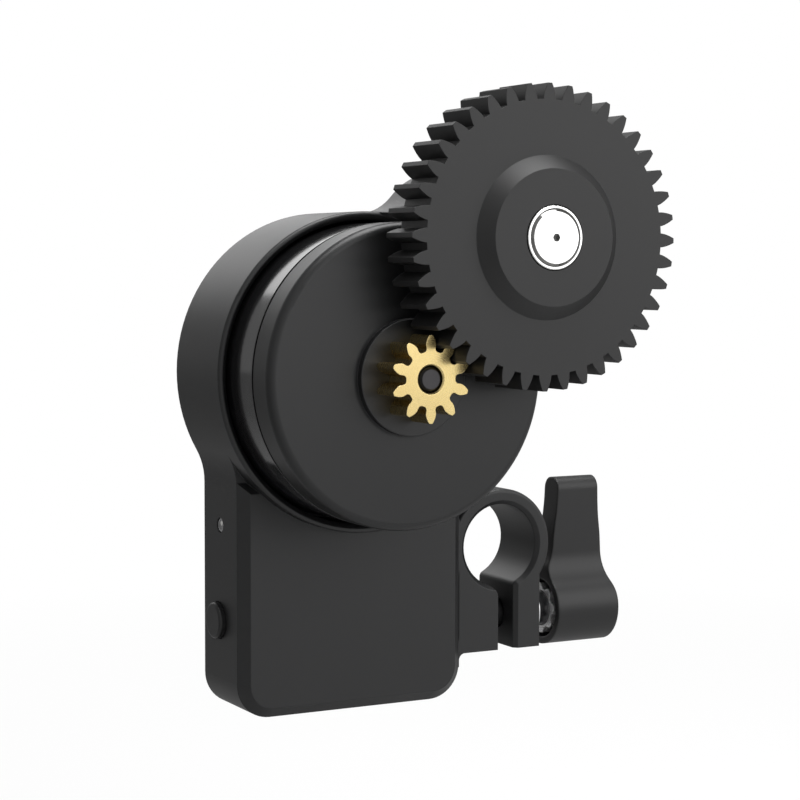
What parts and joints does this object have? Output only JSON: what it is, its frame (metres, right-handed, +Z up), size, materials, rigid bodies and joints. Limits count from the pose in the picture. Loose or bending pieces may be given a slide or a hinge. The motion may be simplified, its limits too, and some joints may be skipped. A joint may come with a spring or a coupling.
{
  "type": "follow focus unit",
  "caption": "Follow focus motor unit: outrunner motor in a ring housing drives a large gear through a small pinion; split rod clamp with an indexing lever.",
  "frame": {"origin": "centre of the rod clamp's bore, half way along it", "axes": "+X to the right seen from the gear side, towards the lever; +Y along the rod and the motor's axis, from the gear side to the rear cover; +Z up, from the box to the large gear"},
  "size_m": [0.0552, 0.0326, 0.0713],
  "materials": {
    "black_anodised": "fine bead-blasted, black anodised",
    "black_lever": "satin black",
    "motor_black": "turned, black anodised",
    "flux_steel": "turned, blackened",
    "pinion_brass": "bright, machined",
    "bright_steel": "bright, turned",
    "bright_screw": "bright, polished",
    "black_screw": "black oxide",
    "bush_bronze": "sintered bronze",
    "lamination": "stacked sheet",
    "copper": "enamelled copper wire",
    "magnet": "nickel plated",
    "spring_steel": "drawn wire",
    "circuit_green": "solder mask on fibreglass",
    "chip_black": "moulded epoxy",
    "light_clear": "clear, moulded",
    "led_white": "moulded lens",
    "button_black": "fine matt",
    "switch_white": "moulded",
    "cable_insulation": "extruded"
  },
  "bodies": {
    "housing": {"housing": "black_anodised", "rear_cover": "black_anodised", "cover_screws": "black_screw", "motor_base": "bright_steel", "base_screws": "bright_steel", "stator_core": "lamination", "stator_coils": "copper", "bearing_outer_races": "bright_steel", "bearing_balls": "bright_steel", "sensor_board": "circuit_green", "sensor_screws": "bright_steel", "sensor_cable": "cable_insulation", "motor_leads": "cable_insulation", "circuit_board": "circuit_green", "board_screws": "bright_steel", "board_chips": "chip_black", "status_led": "led_white", "light_pipe": "light_clear", "side_switch": "chip_black", "usb_shell": "bright_steel", "usb_tongue": "chip_black", "gear_axle": "bright_screw", "gear_washer": "bright_steel", "axle_spacer": "bright_steel"},
    "rotor": {"rotor_bell": "motor_black", "flux_ring": "flux_steel", "rotor_magnets": "magnet", "motor_shaft": "bright_steel", "shaft_clip": "spring_steel", "pinion": "pinion_brass", "bearing_inner_races": "bright_steel", "sensor_magnet": "magnet"},
    "gear": {"drive_gear": "motor_black", "gear_bush": "bush_bronze"},
    "washer": {"clamp_washer": "bright_steel"},
    "stud": {"clamp_stud": "bright_steel", "lever_screw": "black_screw", "lever_spring": "spring_steel"},
    "lever": {"clamp_lever": "black_lever"},
    "button": {"function_button": "button_black", "switch_plunger": "switch_white"}
  },
  "joints": [
    {"name": "rotor_spin", "type": "hinge", "parent": "housing", "child": "rotor", "pos_m": [-0.01975, 0, 0.02145], "axis": [0, 1, 0], "continuous": true},
    {"name": "gear_spin", "type": "hinge", "parent": "housing", "child": "gear", "pos_m": [-0.00687, 0, 0.03675], "axis": [0, 1, 0], "continuous": true},
    {"name": "clamp_travel", "type": "slide", "parent": "housing", "child": "washer", "axis": [1, 0, 0], "range_m": [0, 0.0007]},
    {"name": "clamp_turn", "type": "hinge", "parent": "washer", "child": "stud", "pos_m": [0, 0, -0.00885], "axis": [1, 0, 0], "range_deg": [0, 360]},
    {"name": "lever_pull", "type": "slide", "parent": "stud", "child": "lever", "axis": [1, 0, 0], "range_m": [0, 0.0014], "stiffness_N_per_m": 400, "springref_m": -0.001, "deforming": ["lever_spring"]},
    {"name": "button_press", "type": "slide", "parent": "housing", "child": "button", "axis": [1, 0, 0], "range_m": [0, 0.0004], "stiffness_N_per_m": 3000}
  ],
  "couplings": [
    {"joint": "gear_spin", "follows": "rotor_spin", "ratio": -0.25},
    {"joint": "clamp_travel", "follows": "clamp_turn", "m_per_rad": 0.0001114}
  ]
}
